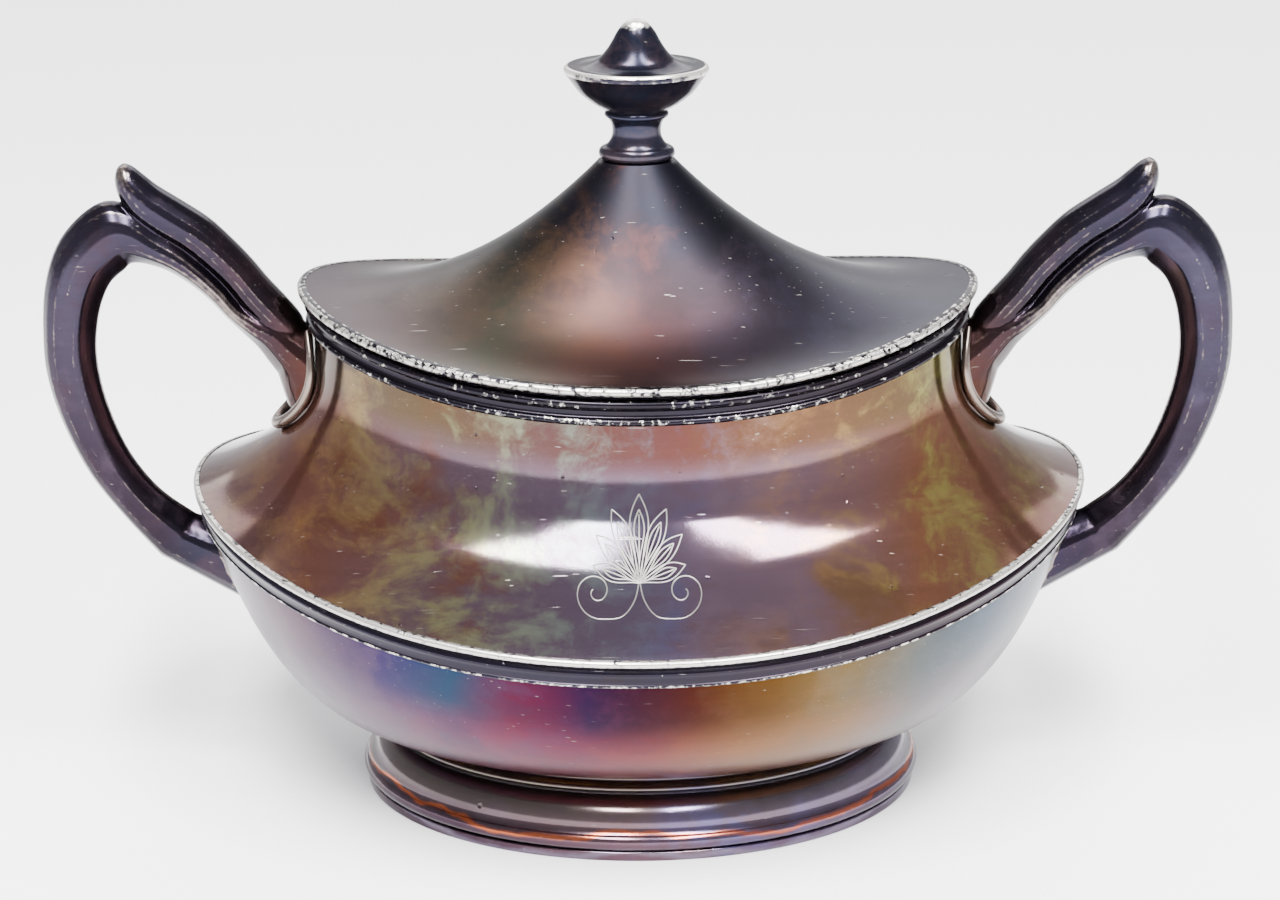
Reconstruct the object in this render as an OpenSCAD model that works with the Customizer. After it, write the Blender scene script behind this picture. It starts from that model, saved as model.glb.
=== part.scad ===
// Covered sugar bowl: oval boat-shaped body, two looped handles, lift-off lid with a knob.
// Origin: centre of the foot where it stands. +X runs along the handles, -Y is the front, +Z is up.

/* [Body] */
// Length of the body over the girdle
body_length = 133.6; // [116:0.4:150]
// Depth of the body over the girdle
body_depth = 101.6; // [90:0.4:120]
// Height of the girdle's upper edge at the front
girdle_height = 40.2; // [36:0.2:48]
// How much higher the girdle stands at the handle ends
girdle_rise = 9.6; // [4:0.2:12]
// Height of the girdle moulding
girdle_band = 4.4; // [3.6:0.1:5.4]
// How far the girdle moulding stands out from the sheet
girdle_proud = 1.9; // [1.4:0.1:2.6]
// Thickness of the sheet metal
wall = 1; // [0.8:0.05:1.2]

/* [Mouth] */
// Length of the neck outside, under the collar
mouth_length = 96; // [84:0.4:104]
// Depth of the neck outside, under the collar
mouth_depth = 56; // [50:0.4:66]
// Height of the neck from the girdle to the collar
neck_height = 27; // [22:0.2:32]
// How much higher the mouth stands at the handle ends
mouth_rise = 6.5; // [3:0.1:8]
// Height of the mouth collar
collar_height = 4.6; // [3.8:0.1:6]
// How far the mouth collar stands out from the neck
collar_proud = 1.4; // [1:0.1:2]

/* [Foot] */
// Length of the foot at its widest
foot_length = 85; // [76:0.4:100]
// Depth of the foot at its widest
foot_depth = 65.2; // [58:0.4:76]
// Height of the foot up to the belly
foot_height = 13.4; // [11:0.2:16]
// Height of the flat wire that the foot stands on
base_wire_height = 1.5; // [1.2:0.1:2]

/* [Lid] */
// How far the lid's edge stands out past the collar
lid_overhang = 0.9; // [0.4:0.1:1.6]
// Height of the crown from the lid's edge to the knob's seat
crown_height = 25; // [20:0.2:30]
// Thickness of the wire round the lid's edge
rim_wire = 1.3; // [1.1:0.05:1.8]
// Depth of the bezel that drops into the mouth
bezel_depth = 4; // [3:0.2:6]
// Clearance between the bezel and the neck
bezel_gap = 0.5; // [0.3:0.05:0.9]
// Clearance under the lid's edge
lid_gap = 0.3; // [0.2:0.05:0.5]

/* [Knob] */
// Length of the knob's disc
knob_length = 21.2; // [18:0.2:26]
// Depth of the knob's disc as a share of its length
knob_oval = 0.65; // [0.6:0.01:1]
// Height of the knob above its seat
knob_height = 21; // [18:0.2:25]
// Diameter of the threaded stud under the knob
stud_diameter = 3; // [2.5:0.1:3.4]
// Distance across the flats of the nut inside the lid
nut_flats = 5; // [4.6:0.1:5.6]

/* [Handles] */
// How far a handle reaches past the girdle
handle_reach = 21.6; // [18:0.2:26]
// Thickness of a handle from front to back
handle_depth = 6.4; // [5:0.2:8]

/* [Hidden] */

segments = 64;          // points round every oval
saddle_power = 2.4;     // how late the rims start to rise towards the handle ends
solder_gap = 0.05;      // room for solder between two pieces of one body
root_gap = 0.2;         // the same where a handle meets the curved body
neck_sweep = 3.4;       // how sharply the shoulder sweeps up into the neck
belly_start = 38;       // angle at which the belly leaves the girdle
belly_fullness = 0.87;  // 1 is an elliptical belly, less is fuller
crown_peak = 0.54;      // how early the lid's crown climbs
crown_swell = 0.855;    // how full the crown is under the knob

body_a = body_length / 2;
body_b = body_depth / 2;
neck_a = mouth_length / 2;
neck_b = mouth_depth / 2;
foot_a = foot_length / 2;
foot_b = foot_depth / 2;
neck_z = girdle_height + neck_height;
collar_top = neck_z + collar_height;
sheet_a = body_a - girdle_proud;   // outside of the sheet behind the girdle
sheet_b = body_b - girdle_proud;
seam_z = girdle_height - girdle_band / 2;
floor_inset = 4.5;                 // from the foot's widest to the belly's flat floor
lid_a = neck_a + collar_proud + lid_overhang;
lid_b = neck_b + collar_proud + lid_overhang;
edge_a = lid_a - rim_wire;         // edge of the lid's sheet, inside its wire
edge_b = lid_b - rim_wire;
lid_z = collar_top + lid_gap;      // underside of the lid's edge
lid_top = lid_z + rim_wire - 0.1;
seat_z = lid_top + crown_height;
seat_r = 5.6;                      // half-length of the flat seat under the knob
stud_r = stud_diameter / 2;
hole_r = stud_r + 0.25;
thread_gap = 0.05;
stud_up = 6;                       // how deep the stud goes into the knob
stud_down = 4.6;                   // and how far it hangs under the lid's sheet
washer_r = min(3, 0.85 * seat_r * knob_oval);
washer_height = 0.8;
nut_height = 2.4;

// ---- rows: [half-length, half-depth, height at the front, rise at the ends] ----

function mix(p, q, t) = p + (q - p) * t;

function ring(row) = [for (i = [0 : segments - 1]) let (t = 360 * i / segments)
    [row[0] * cos(t), row[1] * sin(t), row[2] + row[3] * pow(abs(cos(t)), saddle_power)]];

// A row moved out and up by [out, up].
function shift(row, step) = [row[0] + step[0], row[1] + step[0], row[2] + step[1], row[3]];

// The rows moved into the wall by its thickness, square to the profile.
function inset(rows, depth) = [for (i = [0 : len(rows) - 1])
    let (p = rows[max(i - 1, 0)], q = rows[min(i + 1, len(rows) - 1)],
         run = (q[0] + q[1] - p[0] - p[1]) / 2, climb = q[2] - p[2] + (q[3] - p[3]) / 2,
         size = norm([run, climb]))
    shift(rows[i], [-climb, run] * depth / size)];

// A closed solid through rings of points: a tube, or a ring that closes on itself.
module loft(rings, closed = true) {
    n = len(rings[0]);
    count = len(rings);
    last = closed ? count - 1 : count - 2;
    sides = [for (i = [0 : last], j = [0 : n - 1])
        let (a = i * n + j, b = i * n + (j + 1) % n, up = ((i + 1) % count) * n,
             c = up + (j + 1) % n, d = up + j)
        each [[a, c, b], [a, d, c]]];
    caps = closed ? [] : [[for (j = [0 : n - 1]) j], [for (j = [n - 1 : -1 : 0]) (count - 1) * n + j]];
    polyhedron([for (r = rings) each r], concat(sides, caps), convexity = 8);
}

// A ring-shaped piece from a closed profile of rows.
module hoop(rows) { loft([for (r = rows) ring(r)]); }

function reversed(list) = [for (i = [len(list) - 1 : -1 : 0]) list[i]];

// An arc of [out, up] steps.
function arc(out, up, r, from, to, n) = [for (i = [0 : n]) let (t = mix(from, to, i / n))
    [out + r * cos(t), up + r * sin(t)]];

// ---- body ----

// The belly from the girdle (0) to the edge of its flat floor (1).
belly_row = function(t)
    let (turn = mix(belly_start, 90, t),
         side = pow(cos(turn) / cos(belly_start), belly_fullness),
         drop = (sin(turn) - sin(belly_start)) / (1 - sin(belly_start)))
    [mix(foot_a - floor_inset, sheet_a, side), mix(foot_b - floor_inset, sheet_b, side),
     mix(girdle_height - girdle_band, foot_height, drop), girdle_rise * pow(1 - drop, 1.2)];

// The shoulder and neck from the girdle (0) to the collar (1).
shoulder_row = function(h)
    let (side = pow(1 - h, neck_sweep))
    [mix(neck_a, body_a - 0.9, side), mix(neck_b, body_b - 0.9, side),
     mix(girdle_height, neck_z, h), mix(girdle_rise, mouth_rise, h)];

module lower_bowl() {
    steps = 10;
    outer = concat([[sheet_a, sheet_b, seam_z, girdle_rise]], [for (i = [0 : steps]) belly_row(i / steps)]);
    color("rosybrown")
    loft([for (row = concat(reversed(outer), inset(outer, -wall))) ring(row)], closed = false);
}

module upper_body() {
    neck_top = [neck_a, neck_b, collar_top - 1.2, mouth_rise];
    steps = 9;
    outer = concat([for (i = [0 : steps]) shoulder_row(pow(i / steps, 1.3))], [neck_top]);
    color("tan") hoop(concat(outer, reversed(inset(outer, wall))));
}

module girdle_moulding() {
    // The profile runs down the outside from the bright upper edge and back up against the sheet.
    edge = 0.55;
    lip = [body_a, body_b, girdle_height, girdle_rise];
    outside = concat([[-0.85, 0.1]], arc(-edge, -0.45, edge, 80, -50, 3),
                     [[-0.75, -1.5], [-0.5, -2.1], [-0.75, -2.7], [-1, -3.4]],
                     arc(-1.2, -girdle_band + 0.35, 0.3, 60, -90, 2));
    back = -girdle_proud + solder_gap;
    inside = [[back, -girdle_band + 0.1], [back, -wall - 0.3], [-0.85, -wall - 0.3]];
    color("silver") hoop(reversed([for (step = concat(outside, inside)) shift(lip, step)]));
}

module mouth_collar() {
    // Two beads with a cove between them; a lip turns in over the edge of the neck.
    foot_row = [neck_a, neck_b, neck_z, mouth_rise];
    bead = 0.8;
    low = 0.55;
    outside = concat([[solder_gap, 0]], arc(collar_proud - low - 0.2, low + 0.1, low, -90, 90, 3),
                     [[collar_proud - 1, 1.6], [collar_proud - 1, 2.3]],
                     arc(collar_proud - bead, collar_height - bead - 0.5, bead, -70, 90, 4),
                     [[collar_proud - 1.1, collar_height]]);
    lip = [[-wall, collar_height], [-wall, collar_height - 1.15], [solder_gap, collar_height - 1.15]];
    color("lightsteelblue") hoop([for (step = concat(outside, lip)) shift(foot_row, step)]);
}

// ---- foot ----

module foot_ring() {
    // A stepped ring: lower roll, upper roll, cove and a small bead under the belly.
    edge_row = [foot_a, foot_b, 0, 0];
    roll = 1.45;
    outside = concat([[-0.9, base_wire_height]], arc(-roll, base_wire_height + roll, roll, -60, 60, 4),
                     [for (i = [0 : 3]) let (t = mix(5, 75, i / 3)) [-5.1 + 4 * cos(t), 4.6 + 4.8 * sin(t)]],
                     arc(-4.4, 10, 0.45, -40, 80, 2),
                     [[-5.3, 10.9], [-5.2, 11.7]],
                     [[-4.9, foot_height - 0.9], [-5, foot_height - 0.35], [-5.6, foot_height - 0.05]]);
    rows = [for (step = outside) shift(edge_row, step)];
    inside = [[-7.2, foot_height - 0.05], [-6.7, 9.8], [-3.4, 6.8], [-2.6, 4.6],
              [-2.9, base_wire_height]];
    color("dimgray") hoop(concat(rows, [for (step = inside) shift(edge_row, step)]));
}

module foot_base_wire() {
    outline = function(step) [for (p = ring([foot_a + step, foot_b + step, 0, 0])) [p[0], p[1]]];
    color("slategray")
    linear_extrude(base_wire_height - solder_gap) difference() {
        polygon(outline(-0.6));
        polygon(outline(-3));
    }
}

// ---- handles ----

// Where a wall stands at a given depth y and height z, as x on the +X side.
function wall_row(row_at, y, z, low = 0, high = 1, tries = 16) =
    let (middle = (low + high) / 2, row = row_at(middle),
         along = sqrt(max(0, 1 - pow(y / row[1], 2))),
         height = row[2] + row[3] * pow(along, saddle_power),
         rising = row_at(1)[2] > row_at(0)[2])
    tries == 0 ? row[0] * along
    : ((height < z) == rising) ? wall_row(row_at, y, z, middle, high, tries - 1)
                               : wall_row(row_at, y, z, low, middle, tries - 1);

grip_x = body_a + handle_reach;    // outermost point of a handle
below_mouth = 7.9;                 // from the neck's high end down to the middle of the upper root
below_girdle = 10;                 // from the girdle's high end down to the middle of the lower root
root_high = [neck_z + mouth_rise - below_mouth, 7.1, 4.6];                        // height, half-height and
root_low = [girdle_height + girdle_rise - girdle_band - below_girdle, 6.6, 4.2];  // half-depth of the roots

// The loop's centre line from the neck to the belly, drawn for the reaches and the height below:
// [inwards from the outermost point, above the lower root, half-width, half-depth as a share, direction].
loop = [[36.1, 34.7, 4.3, 1.25, 160], [33.5, 38.6, 4.3, 1.1, 133], [30.7, 41.7, 4.2, 1, 132],
        [28.1, 44.8, 4.35, 1, 132], [25.2, 47.7, 4.6, 1, 134], [21.2, 50.2, 5, 1, 140],
        [16, 52.3, 5.1, 1, 165], [10.9, 51.4, 5.2, 1.05, 203], [7.1, 47.8, 4.9, 1.1, 229],
        [5, 42.8, 4.4, 1.1, 252], [4, 36.6, 4, 1.08, 266],
        [4.1, 30.6, 3.9, 1.05, 275], [5.8, 23.6, 3.7, 1, 288], [9, 15.9, 3.5, 0.95, 297],
        [13.6, 9.4, 3.5, 0.92, 309], [18.8, 4.2, 4.3, 0.95, 319]];
drawn = [39.98, 26.64, 30.4];      // upper reach, lower reach and height between the roots
fitted = [grip_x - wall_row(shoulder_row, 0, root_high[0]), grip_x - wall_row(belly_row, 0, root_low[0]),
          root_high[0] - root_low[0]];
sides = 16;

// One section of the loop, square to its direction: rounded outside, flatter inside.
function section(s) = let (arm = s[1] > drawn[2] ? 0 : 1,
        x = grip_x - s[0] * fitted[arm] / drawn[arm], z = root_low[0] + s[1] * fitted[2] / drawn[2])
    [for (i = [0 : sides - 1])
     let (t = 360 * i / sides, across = s[2] * cos(t), deep = handle_depth / 2 * s[3] * sin(t))
     [x + across * cos(90 - s[4]), deep, z + across * sin(90 - s[4])]];

// Rings that lie on a wall of the body and spread from a point to the loop's root.
// Inner is 1 where the loop's inside is above, -1 where it is below.
function root(r, row_at, inner) = [for (size = [0.04, 0.4, 0.7, 1]) [for (i = [0 : sides - 1])
    let (t = 360 * i / sides, y = size * r[2] * sin(t), z = r[0] + size * inner * r[1] * cos(t))
    [wall_row(row_at, y, z) + root_gap, y, z]]];

function blend(from, to, t) = [for (i = [0 : sides - 1]) mix(from[i], to[i], t)];

module handle() {
    upper = root(root_high, shoulder_row, -1);
    lower = root(root_low, belly_row, 1);
    stations = [for (s = loop) section(s)];
    loft(concat(upper, [blend(upper[3], stations[0], 0.5)], stations,
                [blend(stations[len(loop) - 1], lower[3], 0.5)], reversed(lower)), closed = false);
    thumb_spur();
}

// The raised tip of the leaf that lies on top of the loop.
module thumb_spur() {
    stations = [[23.3, 52, 2.9, 0.8, 133], [19.2, 54.8, 3, 0.8, 135], [15.4, 57.5, 2.7, 0.75, 137],
                [13.4, 61.2, 1.6, 0.6, 128], [12.9, 62.6, 0.6, 0.3, 120]];
    loft([for (s = stations) section(s)], closed = false);
}

// How far along X to stand off the neck so that a point clears it by the given gap, square to the wall.
function stand_off(y, z, gap) = let (step = 0.5, here = wall_row(shoulder_row, y, z),
        wall_x = function(y, z) wall_row(shoulder_row, y, z),
        slope = [wall_x(y + step, z) - here, wall_x(y, z + step) - here] / step)
    gap * norm([1, slope[0], slope[1]]);

// The C-shaped bead round the handle's foot on the neck.
module handle_socket() {
    bead = 0.9;
    turns = 22;
    path = [for (i = [0 : turns]) let (t = mix(-60, 240, i / turns),
                y = (root_high[2] + bead + root_gap / 2) * cos(t),
                z = root_high[0] - (root_high[1] + bead + root_gap / 2) * sin(t))
            [wall_row(shoulder_row, y, z) + stand_off(y, z, bead + root_gap), y, z]];
    loft([for (i = [0 : turns]) let (p = path[i], ahead = path[min(i + 1, turns)] - path[max(i - 1, 0)],
              way = ahead / norm(ahead), across = cross(way, [1, 0, 0]), side = across / norm(across),
              out = cross(side, way), small = sin(mix(25, 155, i / turns)))
          [for (k = [0 : 7]) p + bead * small * (cos(45 * k) * side - sin(45 * k) * out)]], closed = false);
}

module right_handle() { color("slategray") handle(); }

module left_handle() { color("slategray") mirror([1, 0, 0]) handle(); }

module right_handle_socket() { color("silver") handle_socket(); }

module left_handle_socket() { color("silver") mirror([1, 0, 0]) handle_socket(); }

// ---- lid ----

seat_x = seat_r / edge_a;
crown = function(x) pow((1 + cos(180 * pow(x, crown_peak))) / 2, crown_swell);

// The lid's sheet from its edge (1) to the knob's seat.
lid_row = function(x)
    let (a = edge_a * x, out = max(0, (x - seat_x) / (1 - seat_x)))
    [a, a * mix(knob_oval, edge_b / edge_a, x), lid_top + crown_height * crown(x) / crown(seat_x),
     mouth_rise * pow(out, 1.5)];

module lid_shell() {
    steps = 10;
    slope = [for (i = [0 : steps]) lid_row(mix(1, seat_x, pow(i / steps, 0.9)))];
    inner = inset(slope, wall);
    color("indianred") hoop(concat(slope, [[hole_r, hole_r, seat_z, 0], [hole_r, hole_r, seat_z - wall, 0]],
                                   reversed(inner)));
}

module lid_rim_wire() {
    edge_row = [lid_a, lid_b, lid_z, mouth_rise];
    r = rim_wire / 2;
    back = -rim_wire + solder_gap;
    color("white") hoop([for (step = concat(arc(-r, r, r, -90, 90, 4), [[back, rim_wire], [back, 0]]))
                         shift(edge_row, step)]);
}

module lid_bezel() {
    a = neck_a - wall - bezel_gap;
    b = neck_b - wall - bezel_gap;
    under = lid_row((a - wall) / edge_a)[3];
    top = lid_top - wall - solder_gap;
    profile = [[-wall, 0], [-wall, -bezel_depth], [0, -bezel_depth], [0, 0]];
    color("silver") hoop([for (step = profile) shift([a, b, top, under], step)]);
}

// ---- knob and its fastening ----

module knob_shape() {
    // From the seat up: roll, stem, collar, cup, disc, and the peaked bell.
    r = knob_length / 2;
    disc = knob_height * 0.645;
    rim = 0.7;
    sides = 36;
    outline = concat(arc(4.6, 1 + solder_gap, 1, -90, 60, 4),
        [[4.2, 2.5], [3.7, 3.4], [3.55, 4.4], [3.75, 5.6], [4.3, 6.4]], arc(4.2, 6.9, 0.5, -30, 60, 2),
        [[5.2, 7.9], [6.8, 8.9], [8.4, 10.3], [9.5, 11.8]], arc(r - rim, disc, rim, -40, 90, 4),
        [[8.2, disc + 0.6], [6.4, disc + 1.1], [5.2, disc + 1.9], [4.3, disc + 3], [3.5, disc + 4.3],
         [2.8, disc + 5.6], [2, knob_height - 0.8], [1.4, knob_height - 0.3], [0.6, knob_height]]);
    loft([for (p = outline) [for (i = [0 : sides - 1]) let (t = 360 * i / sides)
          [p[0] * cos(t), p[0] * knob_oval * sin(t), p[1]]]], closed = false);
}

module finial_knob() {
    color("dimgray") translate([0, 0, seat_z]) difference() {
        knob_shape();
        translate([0, 0, -1]) cylinder(r = stud_r + thread_gap, h = stud_up + 1.5, $fn = 48);
    }
}

module finial_stud() {
    color("gray") translate([0, 0, seat_z - wall - stud_down])
    cylinder(r = stud_r, h = stud_down + wall + stud_up, $fn = 48);
}

module finial_washer() {
    color("silver") translate([0, 0, seat_z - wall - 2 * solder_gap - washer_height]) difference() {
        cylinder(r = washer_r, h = washer_height, $fn = 64);
        translate([0, 0, -1]) cylinder(r = stud_r + 0.15, h = 3, $fn = 48);
    }
}

module finial_nut() {
    color("gray")
    translate([0, 0, seat_z - wall - 3 * solder_gap - washer_height - nut_height]) difference() {
        cylinder(r = nut_flats / sqrt(3), h = nut_height, $fn = 6);
        translate([0, 0, -1]) cylinder(r = stud_r + thread_gap, h = 5, $fn = 48);
    }
}

lower_bowl();
upper_body();
girdle_moulding();
mouth_collar();
foot_ring();
foot_base_wire();
left_handle();
right_handle();
left_handle_socket();
right_handle_socket();
lid_shell();
lid_rim_wire();
lid_bezel();
finial_knob();
finial_stud();
finial_washer();
finial_nut();
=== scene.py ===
import math

import bmesh
import bpy
import numpy as np
from mathutils import Matrix, Vector


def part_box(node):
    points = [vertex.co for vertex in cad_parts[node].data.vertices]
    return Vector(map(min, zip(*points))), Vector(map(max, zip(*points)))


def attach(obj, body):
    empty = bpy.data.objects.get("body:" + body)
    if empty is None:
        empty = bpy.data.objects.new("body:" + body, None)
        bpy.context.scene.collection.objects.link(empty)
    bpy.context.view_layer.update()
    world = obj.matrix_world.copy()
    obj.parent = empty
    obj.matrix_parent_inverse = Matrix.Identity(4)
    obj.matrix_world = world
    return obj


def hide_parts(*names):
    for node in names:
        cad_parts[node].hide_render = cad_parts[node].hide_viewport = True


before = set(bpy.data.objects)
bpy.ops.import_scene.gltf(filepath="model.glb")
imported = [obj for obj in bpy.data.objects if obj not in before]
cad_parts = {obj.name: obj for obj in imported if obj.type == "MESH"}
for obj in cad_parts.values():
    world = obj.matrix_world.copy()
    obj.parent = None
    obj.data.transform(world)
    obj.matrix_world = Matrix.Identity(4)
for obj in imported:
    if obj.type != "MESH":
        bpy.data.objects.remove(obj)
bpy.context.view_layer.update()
mm = 0.001
print("frame loaded with", len(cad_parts), "nodes")

# what several pieces share; lengths are in millimetres
sheet = {
    "wall": 1.0,
    "saddlePower": 2.4,      # how late a rim starts to rise towards the handles
    "girdleRise": 9.6,       # how much higher the girdle stands at its ends than in front
    "girdleBand": 4.4,
    "girdleProud": 1.9,
    "mouthRise": 6.5,
    "collarHeight": 4.6,
    "collarProud": 1.4,
    "solderGap": 0.05,
    "topGap": 0.1,           # between the tops of two pieces that lap over each other
    "pointsRound": 224,
}


def corner(node, index):
    return [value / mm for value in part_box(node)[index]]


girdleA, girdleB, girdleTop = corner("girdle_moulding", 1)
collarA, collarB, collarTop = corner("mouth_collar", 1)
footA, footB, footTop = corner("foot_ring", 1)
lidA, lidB, lidTopAtEnds = corner("lid_rim_wire", 1)
knobR, knobB, knobTop = corner("finial_knob", 1)
neckA, neckB = collarA - sheet["collarProud"], collarB - sheet["collarProud"]
girdleZ = girdleTop - sheet["girdleRise"] - sheet["topGap"]
neckZ = collarTop - sheet["mouthRise"] - sheet["collarHeight"]
footZ = footTop + sheet["solderGap"]
seatZ = corner("finial_knob", 0)[2] - sheet["solderGap"]


def mix(low, high, t):
    return low + (high - low) * t


def shifted(row, step):
    # a row is [half-length, half-depth, height, rise at the ends]; a step goes outwards and upwards
    return (row[0] + step[0], row[1] + step[0], row[2] + step[1], row[3])


def arc(out, up, r, start, end, count):
    turns = [math.radians(mix(start, end, i / count)) for i in range(count + 1)]
    return [(out + r * math.cos(t), up + r * math.sin(t)) for t in turns]


def flowing(points, steps=5):
    # a smooth line through a few points
    line = []
    for i in range(len(points) - 1):
        before, here = points[max(i - 1, 0)], points[i]
        ahead, after = points[i + 1], points[min(i + 2, len(points) - 1)]
        for k in range(steps):
            t = k / steps
            line.append(tuple(
                0.5 * (2 * q + (r - p) * t + (2 * p - 5 * q + 4 * r - s) * t ** 2
                       + (3 * q - p - 3 * r + s) * t ** 3)
                for p, q, r, s in zip(before, here, ahead, after)))
    return line + [tuple(points[-1])]


def inset(rows, depth):
    # rows moved into the wall, square to the outline
    moved = []
    for i, row in enumerate(rows):
        before, after = rows[max(i - 1, 0)], rows[min(i + 1, len(rows) - 1)]
        run = (after[0] + after[1] - before[0] - before[1]) / 2
        climb = after[2] - before[2] + (after[3] - before[3]) / 2
        size = math.hypot(run, climb)
        moved.append(shifted(row, (-climb * depth / size, run * depth / size)))
    return moved


def addNode(tree, kind, values=None, **settings):
    node = tree.nodes.new(kind)
    for name, value in settings.items():
        setattr(node, name, value)
    for key, value in (values or {}).items():
        if isinstance(value, bpy.types.NodeSocket):
            tree.links.new(value, node.inputs[key])
        else:
            node.inputs[key].default_value = value
    return node


def calc(tree, operation, first, second=0.0, third=0.0):
    return addNode(tree, "ShaderNodeMath", {0: first, 1: second, 2: third}, operation=operation).outputs[0]


def plus(tree, first, second):
    return calc(tree, "ADD", first, second)


def minus(tree, first, second):
    return calc(tree, "SUBTRACT", first, second)


def times(tree, first, second):
    return calc(tree, "MULTIPLY", first, second)


def split(tree, vector):
    return addNode(tree, "ShaderNodeSeparateXYZ", {0: vector}).outputs


def newTree(name, sockets):
    tree = bpy.data.node_groups.new(name, "GeometryNodeTree")
    tree.interface.new_socket("Geometry", in_out="OUTPUT", socket_type="NodeSocketGeometry")
    for label, kind in sockets:
        tree.interface.new_socket(label, in_out="INPUT", socket_type="NodeSocket" + kind)
    return tree, tree.nodes.new("NodeGroupInput"), tree.nodes.new("NodeGroupOutput")


def finishTree(tree, geometry, material, output):
    solid = addNode(tree, "GeometryNodeRealizeInstances", {"Geometry": geometry})
    dressed = addNode(tree, "GeometryNodeSetMaterial", {"Geometry": solid.outputs[0], "Material": material})
    tree.links.new(dressed.outputs[0], output.inputs[0])


def addObject(name, data):
    added = bpy.data.objects.new(name, data)
    bpy.context.scene.collection.objects.link(added)
    return added


def finished(draft):
    # the plain mesh that a draft's modifiers make
    bpy.context.view_layer.update()
    graph = bpy.context.evaluated_depsgraph_get()
    mesh = bpy.data.meshes.new_from_object(
        draft.evaluated_get(graph), preserve_all_data_layers=True, depsgraph=graph)
    bpy.data.objects.remove(draft)
    return mesh


def grow(name, host, tree, values):
    # runs a node tree on its host
    draft = addObject(name, host)
    modifier = draft.modifiers.new("grow", "NODES")
    modifier.node_group = tree
    for item in tree.interface.items_tree:
        if item.in_out == "INPUT" and item.name in values:
            modifier[item.identifier] = values[item.name]
    mesh = finished(draft)
    mesh.name = name
    return mesh


def outwards(mesh):
    work = bmesh.new()
    work.from_mesh(mesh)
    bmesh.ops.recalc_face_normals(work, faces=work.faces)
    if work.calc_volume(signed=True) < 0:
        bmesh.ops.reverse_faces(work, faces=work.faces)
    work.to_mesh(mesh)
    work.free()


def setValues(mesh, label, values):
    mesh.attributes.new(label, "FLOAT", "POINT").data.foreach_set("value", values)


def markEdges(mesh, rounds=2):
    # signed curvature in 1/mm at each point, for wear on edges, a painted highlight along the handles'
    # ridges, and darker creases
    count = len(mesh.vertices)
    points = np.zeros(count * 3)
    mesh.vertices.foreach_get("co", points)
    points = points.reshape(-1, 3) / mm
    normals = np.zeros(count * 3)
    mesh.vertices.foreach_get("normal", normals)
    normals = normals.reshape(-1, 3)
    pairs = np.zeros(len(mesh.edges) * 2, dtype=np.int64)
    mesh.edges.foreach_get("vertices", pairs)
    pairs = pairs.reshape(-1, 2)
    both = np.concatenate([pairs, pairs[:, ::-1]])
    gap = points[both[:, 0]] - points[both[:, 1]]
    bend = 2 * (gap * normals[both[:, 0]]).sum(1) / np.maximum((gap ** 2).sum(1), 1e-6)
    valence = np.maximum(np.bincount(both[:, 0], minlength=count), 1)
    edge = np.bincount(both[:, 0], weights=bend, minlength=count) / valence
    edge = np.clip(edge, -3, 3)
    for _ in range(rounds):
        near = np.bincount(both[:, 0], weights=edge[both[:, 1]], minlength=count) / valence
        edge = 0.5 * edge + 0.5 * near
    setValues(mesh, "edge", edge.astype(np.float32))


def place(mesh, name, body, slot, *nodes):
    piece = addObject(name, mesh)
    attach(piece, body)
    if nodes:
        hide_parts(*nodes)


def paint(code):
    # a colour written as six hex digits, as linear light
    parts = [int(code[i:i + 2], 16) / 255 for i in (0, 2, 4)]
    return tuple(p / 12.92 if p <= 0.04045 else ((p + 0.055) / 1.055) ** 2.4 for p in parts) + (1.0,)


def colourRow(tree, factor, stops, tint):
    # a row of colours from [place, colour] pairs
    node = addNode(tree, "ShaderNodeValToRGB", {"Fac": factor})
    ramp = node.color_ramp
    for index, (spot, code) in enumerate(stops):
        stop = ramp.elements[index] if index < 2 else ramp.elements.new(spot)
        stop.position = spot
        stop.color = [light * share for light, share in zip(paint(code), tint)] + [1.0]
    return node.outputs[0]


def between(tree, value, low, high):
    # 0 at low and 1 at high, eased
    return addNode(tree, "ShaderNodeMapRange", {0: value, 1: low, 2: high},
                   interpolation_type="SMOOTHSTEP").outputs[0]


def blendColours(tree, factor, first, second, how="MIX"):
    node = addNode(tree, "ShaderNodeMix", {0: factor}, data_type="RGBA", blend_type=how)
    for key, value in ((6, first), (7, second)):
        if isinstance(value, bpy.types.NodeSocket):
            tree.links.new(value, node.inputs[key])
        else:
            node.inputs[key].default_value = value
    return node.outputs[2]


def mixValues(tree, factor, first, second):
    return addNode(tree, "ShaderNodeMix", {0: factor, 2: first, 3: second}, data_type="FLOAT").outputs[0]


def noise(tree, spot, scale, detail=3.0, rough=0.55, output="Fac"):
    values = {"Vector": spot, "Scale": scale, "Detail": detail, "Roughness": rough}
    return addNode(tree, "ShaderNodeTexNoise", values).outputs[output]


def swing(tree, value, middle, size):
    # turns 0 to 1 into a swing of this size round the middle
    return calc(tree, "MULTIPLY_ADD", value, size, middle - size / 2)


def turned(tree, spot, turn, stretch):
    values = {"Vector": spot, "Rotation": [math.radians(t) for t in turn], "Scale": stretch}
    return addNode(tree, "ShaderNodeMapping", values).outputs[0]


def marked(tree, label):
    return addNode(tree, "ShaderNodeAttribute", attribute_name=label).outputs["Fac"]


tones = {"pit": "241c22", "scratch": "c3bcb4", "creaseDark": "1d1820", "inside": "8d867c", "insidePatch": "5e564e"}


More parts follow.
